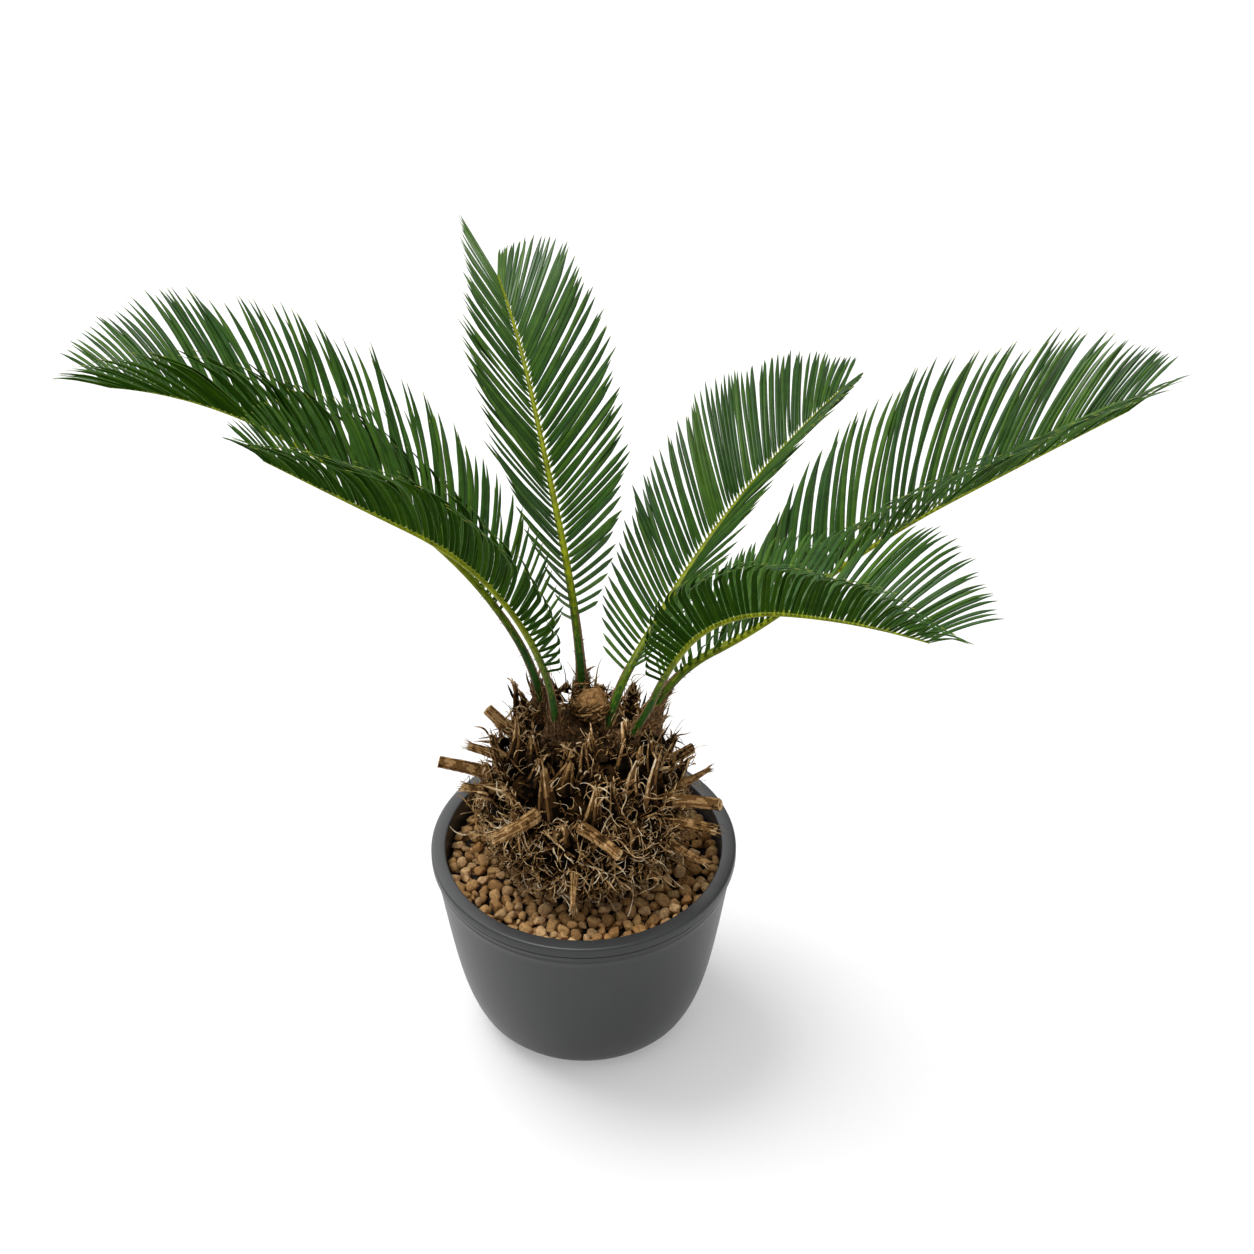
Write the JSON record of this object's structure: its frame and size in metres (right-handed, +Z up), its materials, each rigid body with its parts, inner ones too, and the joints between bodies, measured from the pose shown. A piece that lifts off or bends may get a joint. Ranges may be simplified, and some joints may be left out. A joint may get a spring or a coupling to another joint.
{
  "type": "potted sago palm",
  "caption": "Sago palm (Cycas revoluta): squat scaly trunk with cut frond stems and arching feathery fronds, in a round rimmed pot topped with pebbles.",
  "frame": {"origin": "centre of the pot's flat underside", "axes": "+Z up the trunk, front of the plant at -Y, +X to the viewer's right"},
  "size_m": [0.9829, 0.5868, 0.7094],
  "materials": {
    "pot_grey": "smooth satin charcoal glaze",
    "pebble_tan": "loose dull tan and brown pebbles with dark gaps",
    "trunk_brown": "ragged brown leaf-base scales with pale fibres",
    "wool_tan": "dense tan wool",
    "stem_brown": "dry brown bark with a fibrous cut end",
    "rib_green": "satin yellow-green rind, brown and woolly at the foot",
    "leaf_green": "leathery dark green leaflets with a soft sheen"
  },
  "bodies": {
    "root": {"crown_bud": "wool_tan", "frond_left_back_left_inner": "leaf_green", "frond_left_back_left_outer": "leaf_green", "frond_left_back_rib_lower": "rib_green", "frond_left_back_rib_upper": "rib_green", "frond_left_back_right_inner": "leaf_green", "frond_left_back_right_outer": "leaf_green", "frond_left_front_left_inner": "leaf_green", "frond_left_front_left_outer": "leaf_green", "frond_left_front_rib_lower": "rib_green", "frond_left_front_rib_upper": "rib_green", "frond_left_front_right_inner": "leaf_green", "frond_left_front_right_outer": "leaf_green", "frond_middle_left_inner": "leaf_green", "frond_middle_left_outer": "leaf_green", "frond_middle_rib_lower": "rib_green", "frond_middle_rib_upper": "rib_green", "frond_middle_right_inner": "leaf_green", "frond_middle_right_outer": "leaf_green", "frond_right_back_left_inner": "leaf_green", "frond_right_back_left_outer": "leaf_green", "frond_right_back_rib_lower": "rib_green", "frond_right_back_rib_upper": "rib_green", "frond_right_back_right_inner": "leaf_green", "frond_right_back_right_outer": "leaf_green", "frond_right_far_left_inner": "leaf_green", "frond_right_far_left_outer": "leaf_green", "frond_right_far_rib_lower": "rib_green", "frond_right_far_rib_upper": "rib_green", "frond_right_far_right_inner": "leaf_green", "frond_right_far_right_outer": "leaf_green", "frond_right_front_left_inner": "leaf_green", "frond_right_front_left_outer": "leaf_green", "frond_right_front_rib_lower": "rib_green", "frond_right_front_rib_upper": "rib_green", "frond_right_front_right_inner": "leaf_green", "frond_right_front_right_outer": "leaf_green", "pebble_bed": "pebble_tan", "pot": "pot_grey", "stem_back_left": "stem_brown", "stem_back_mid": "stem_brown", "stem_back_right": "stem_brown", "stem_front_mid": "stem_brown", "stem_front_pale": "stem_brown", "stem_front_spike": "stem_brown", "stem_left_long": "stem_brown", "stem_left_lower": "stem_brown", "stem_left_small": "stem_brown", "stem_left_upper": "stem_brown", "stem_right_knob": "stem_brown", "stem_right_long": "stem_brown", "stem_right_root": "stem_brown", "stem_right_split": "stem_brown", "trunk": "trunk_brown"}
  },
  "joints": []
}
